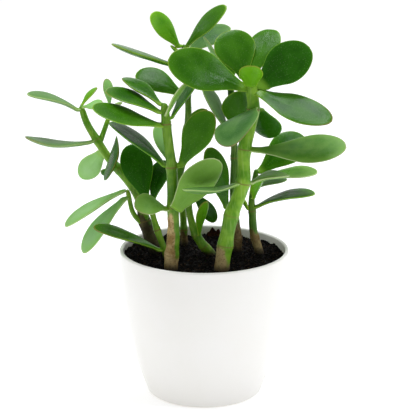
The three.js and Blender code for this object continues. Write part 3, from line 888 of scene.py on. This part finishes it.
def leaf_mesh(name, stem, middle, half_side, half_face, seed):
    """A fine blade through ten sections from foot to tip, with its foot grown into the stem."""
    rng = random.Random(seed)
    middle, half_side, half_face = rooted(stem, middle, half_side, half_face)
    levels = np.arange(len(middle))
    at = np.linspace(0, len(middle) - 1, LENGTHWISE)
    centres = hermite(levels, middle, at)
    sides = hermite(levels, half_side, at)
    faces_out = hermite(levels, half_face, at)
    up = np.array([v / np.linalg.norm(v) for v in half_face[:-1]]).mean(0)
    up /= np.linalg.norm(up)
    share_along = (1 - np.cos(math.pi * at / (len(middle) - 1))) / 2
    widths = np.linalg.norm(sides, axis=1)
    widest = int(np.argmax(widths))
    wave, phase = rng.uniform(0.02, 0.07), rng.uniform(0, 2 * math.pi)
    tint, blush = rng.random(), max(0.0, rng.uniform(-0.3, 0.75))
    points = []
    stored = {key: [] for key in ("along", "edge_mm", "upper_side", "midrib", "tint", "blush")}
    for i in range(LENGTHWISE - 1):
        t = share_along[i]
        for k in range(AROUND):
            turn = 2 * math.pi * k / AROUND
            x, through = math.cos(turn), math.sin(turn)
            lift = math.copysign(abs(through) ** MARGIN_POWER, through)
            lift *= 1 - FLATTER_TOP if through > 0 else 1 + FLATTER_TOP
            rib = math.exp(-((x / GROOVE_HALF) ** 2)) * (1 - t) * float(smoothstep(0.02, 0.2, t))
            carve = -GROOVE * rib if through > 0 else -KEEL * rib
            sway = wave * math.sin(5 * t + phase) * x * abs(x) * widths[i]
            point = centres[i] + sides[i] * x + faces_out[i] * lift
            ripple = RIPPLE * noise.noise(Vector(point / RIPPLE_SIZE) + Vector((seed, 0, 0)))
            ripple *= float(smoothstep(0.05, 0.3, t))
            point = point + up * (CUP * widths[i] * x * x + carve + sway + ripple)
            points.append(point)
            if i > widest:
                roundness = widths[i] / widths[widest] * through
                edge = widths[widest] * (1 - math.sqrt(max(0.0, 1 - roundness ** 2)))
            else:
                edge = widths[i] * (1 - abs(x))
            stored["along"].append(t)
            stored["edge_mm"].append(edge / MM)
            stored["upper_side"].append(float(smoothstep(-0.15, 0.15, through)))
            stored["midrib"].append(math.exp(-((x / MIDRIB_HALF) ** 2)) * (1 - t))
            stored["tint"].append(tint)
            stored["blush"].append(blush * float(smoothstep(0.45, 0.95, t)))
    points += [centres[0], centres[-1]]
    for key, value in (("along", (0, 1)), ("edge_mm", (5, 0)), ("upper_side", (0.5, 0.5)),
                       ("midrib", (0, 0)), ("tint", (tint, tint)), ("blush", (0, blush))):
        stored[key] += list(value)
    return closed_mesh(name, points, tube_faces(LENGTHWISE - 1, AROUND), stored)


def cad_sections(node, stem):
    """Ten sections of a CAD leaf: middle points, half widths and half thicknesses as vectors."""
    first, rings, last = rings_of(node)
    to_stem = [np.linalg.norm(p - nearest_on_stem(stem, p)[0]) for p in (first, last)]
    if to_stem[0] > to_stem[1]:
        first, rings, last = last, rings[::-1], first
    turns = 2 * math.pi * np.arange(len(rings[0])) / len(rings[0])
    middle, half_side, half_face = [first], [None], [None]
    for ring in rings:
        apart = np.linalg.norm(ring[:, None] - ring[None], axis=2)
        start = int(np.unravel_index(np.argmax(apart), apart.shape)[0])
        ring = np.roll(ring, -start, axis=0)
        if half_side[-1] is not None and np.dot(ring[0] - ring.mean(0), half_side[-1]) < 0:
            ring = np.roll(ring, -len(ring) // 2, axis=0)
        across = 2 * (ring * np.cos(turns)[:, None]).mean(0)
        through = 2 * (ring * np.sin(turns)[:, None]).mean(0)
        cupped = 2 * (ring * np.cos(2 * turns)[:, None]).mean(0)
        if np.dot(through, cupped) < 0:
            through = -through
        up = through / np.linalg.norm(through)
        middle.append(ring.mean(0) + cupped - up * CUP * np.linalg.norm(across))
        half_side.append(across)
        half_face.append(through)
    middle.append(last)
    half_side[0], half_face[0] = half_side[1], half_face[1]
    half_side.append(np.zeros(3))
    half_face.append(np.zeros(3))
    return np.array(middle), np.array(half_side), np.array(half_face)


def leaf_age(node):
    """Which of the cuticles a CAD leaf has."""
    return next((age for age, nodes in AGES.items() if node in nodes), "mature")


leaf_nodes = sorted(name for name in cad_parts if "_leaf_" in name)
for seed, node in enumerate(leaf_nodes):
    stem = node.split("_leaf_")[0]
    middle, half_side, half_face = cad_sections(node, stem)
    name = f"jade_{node}"
    shape = leaf_mesh(name, stem, middle, half_side, half_face, seed)
    add_piece(name, shape, LEAF_SKINS[leaf_age(node)], [node])

# The plant's smallest leaves: stem, height above the soil in mm, heading and rise in degrees, length
# and width in mm, roll in degrees, age.
SMALL_LEAVES = (
    ("left", 123, 45, 37, 21, 8, 0, "young"),
    ("left_branch", 121, -37, 25, 11, 6, 0, "pale"),
    ("left", 70, 150, -29, 14, 11, 30, "dark"),
    ("back", 166, -167, 46, 13, 7, 0, "young"),
    ("front_right", 143, 36, -13, 52, 13, 10, "mature"),
    ("curved", 19, -57, 72, 34, 12, 5, "young"),
    ("curved", 55, 25, -52, 36, 13, 85, "dark"),
    ("right", 38, -158, 57, 15, 8, 0, "young"),
    ("right", 56, 25, 9, 29, 12, 15, "dusty"),
)
SMALL_THICKNESS = 3.2 * MM
SMALL_ARCH = 0.05
SMALL_FOOT = 0.26
SMALL_FOOT_DEPTH = 0.72
SMALL_WIDEST = 0.6
SECTIONS = 10
FIRST_SMALL_SEED = 101


def blade_share(t, foot):
    """The share of the full size at t: a narrow foot, widest past the middle, a round tip."""
    if t < SMALL_WIDEST:
        return foot + (1 - foot) * float(smoothstep(0, SMALL_WIDEST, t))
    return math.sqrt(max(0.0, 1 - ((t - SMALL_WIDEST) / (1 - SMALL_WIDEST)) ** 2))


def small_sections(stem, up, heading, rise, length, width, roll):
    """Ten sections of a small leaf that grows straight from a stem's skin."""
    centres, radii = stem_samples(stem)
    found = int(np.argmin(np.abs(centres[:, 2] - SOIL_TOP - up * MM)))
    turn, lift = math.radians(heading), math.radians(rise)
    outwards = Vector((math.cos(turn), math.sin(turn), 0))
    along = outwards * math.cos(lift) + Vector((0, 0, math.sin(lift)))
    rolled = Quaternion(along, math.radians(roll))
    side = rolled @ Vector((0, 0, 1)).cross(outwards)
    face = along.cross(side)
    start = Vector(centres[found]) + outwards * float(radii[found])
    middle, half_side, half_face = [], [], []
    for level in range(SECTIONS):
        t = (1 - math.cos(math.pi * level / (SECTIONS - 1))) / 2
        bow = SMALL_ARCH * 4 * t * (1 - t) * length * MM
        middle.append(start + along * (t * length * MM) + face * bow)
        half_side.append(side * (width * MM / 2 * blade_share(t, SMALL_FOOT)))
        half_face.append(face * (SMALL_THICKNESS / 2 * blade_share(t, SMALL_FOOT_DEPTH)))
    return np.array(middle), np.array(half_side), np.array(half_face)


for order, (stem, *growth, age) in enumerate(SMALL_LEAVES):
    name = f"jade_{stem}_small_leaf_{order + 1}"
    shape = leaf_mesh(name, stem, *small_sections(stem, *growth), FIRST_SMALL_SEED + order)
    add_piece(name, shape, LEAF_SKINS[age])


# ---- Dry scraps ----------------------------------------------------------------------------------
# Two fallen leaves have dried to thin, curled scraps with a torn top edge. They stand on the soil
# near the back and the left, and lean on the wall.

SCRAP_THICKNESS = 0.5 * MM
SCRAP_LENGTHWISE, SCRAP_ACROSS = 24, 14
SCRAP_CURL = 1.1
SCRAP_CRUMPLE = 0.9 * MM
SCRAP_BEND = 1.5 * MM
SCRAP_TO_WALL = 4.5 * MM
# Each scrap: its bearing from the pot's middle in degrees, its length and its height in mm.
SCRAPS = {"back_dry_scrap": (82, 13, 9.5), "left_dry_scrap": (148, 12, 8)}


def scrap_mesh(name, place, turn, length, height, seed):
    """A thin curled plate with a ragged, crumpled top edge."""
    heading = Vector((math.cos(turn), math.sin(turn), 0))
    inwards = Vector((-heading.y, heading.x, 0))
    sheets = {1: [], -1: []}
    for i in range(SCRAP_LENGTHWISE + 1):
        u = i / SCRAP_LENGTHWISE * 2 - 1
        ragged = 0.75 + 0.35 * noise.noise(Vector((u * 2.2, seed, 0)))
        top = height * ragged * math.sqrt(max(0.04, 1 - u ** 4))
        for j in range(SCRAP_ACROSS + 1):
            v = j / SCRAP_ACROSS
            bent = SCRAP_CURL * v * v
            crumple = SCRAP_CRUMPLE * noise.noise(Vector((u * 3, v * 3, seed + 5)))
            middle = place + heading * (u * length / 2) + Vector((0, 0, top * math.sin(v * 1.4)))
            middle += inwards * (crumple + height * 0.35 * (1 - math.cos(bent)) + u * u * SCRAP_BEND)
            for face in sheets:
                sheets[face].append(middle + inwards * (face * SCRAP_THICKNESS / 2))
    row, count = SCRAP_ACROSS + 1, len(sheets[1])
    faces = []
    for i in range(SCRAP_LENGTHWISE):
        for j in range(SCRAP_ACROSS):
            a, b = i * row + j, (i + 1) * row + j
            faces.append((a, a + 1, b + 1, b))
            faces.append((count + a, count + b, count + b + 1, count + a + 1))
    rim = [i * row for i in range(SCRAP_LENGTHWISE)]
    rim += [SCRAP_LENGTHWISE * row + j for j in range(SCRAP_ACROSS)]
    rim += [i * row + SCRAP_ACROSS for i in range(SCRAP_LENGTHWISE, 0, -1)]
    rim += list(range(SCRAP_ACROSS, 0, -1))
    for a, b in zip(rim, rim[1:] + rim[:1]):
        faces.append((a, b, count + b, count + a))
    return closed_mesh(name, sheets[1] + sheets[-1], faces)


def dry_leaf():
    """Dead leaf tissue: leathery, red-brown and streaked, with a dull shine."""
    material, tree = new_material("dried leaf, brown and leathery")
    place = add_node(tree, "ShaderNodeTexCoord").outputs["Object"]
    veins = add_node(tree, "ShaderNodeTexNoise", {"Vector": place, "Scale": 420.0, "Detail": 4.0})
    colour = mixed(tree, ranged(tree, veins.outputs["Fac"], 0.35, 0.65),
                   linear("#23110a"), linear("#5b3320"))
    bump = add_node(tree, "ShaderNodeBump", {
        "Height": veins.outputs["Fac"], "Strength": 0.5, "Distance": 0.3 * MM,
    })
    shader = add_node(tree, "ShaderNodeBsdfPrincipled", {
        "Base Color": colour, "Roughness": 0.6, "Specular IOR Level": 0.2,
        "Normal": bump.outputs["Normal"],
    })
    finish_material(tree, shader)
    return material


dried = dry_leaf()
for seed, (name, (bearing, length, height)) in enumerate(SCRAPS.items()):
    reach = outer_radius(SOIL_TOP) - WALL - SCRAP_TO_WALL
    turn = math.radians(bearing)
    foot = Vector((reach * math.cos(turn), reach * math.sin(turn), SOIL_TOP + 1 * MM))
    add_piece(name, scrap_mesh(name, foot, turn + math.pi / 2, length * MM, height * MM, seed * 9.7),
              dried)
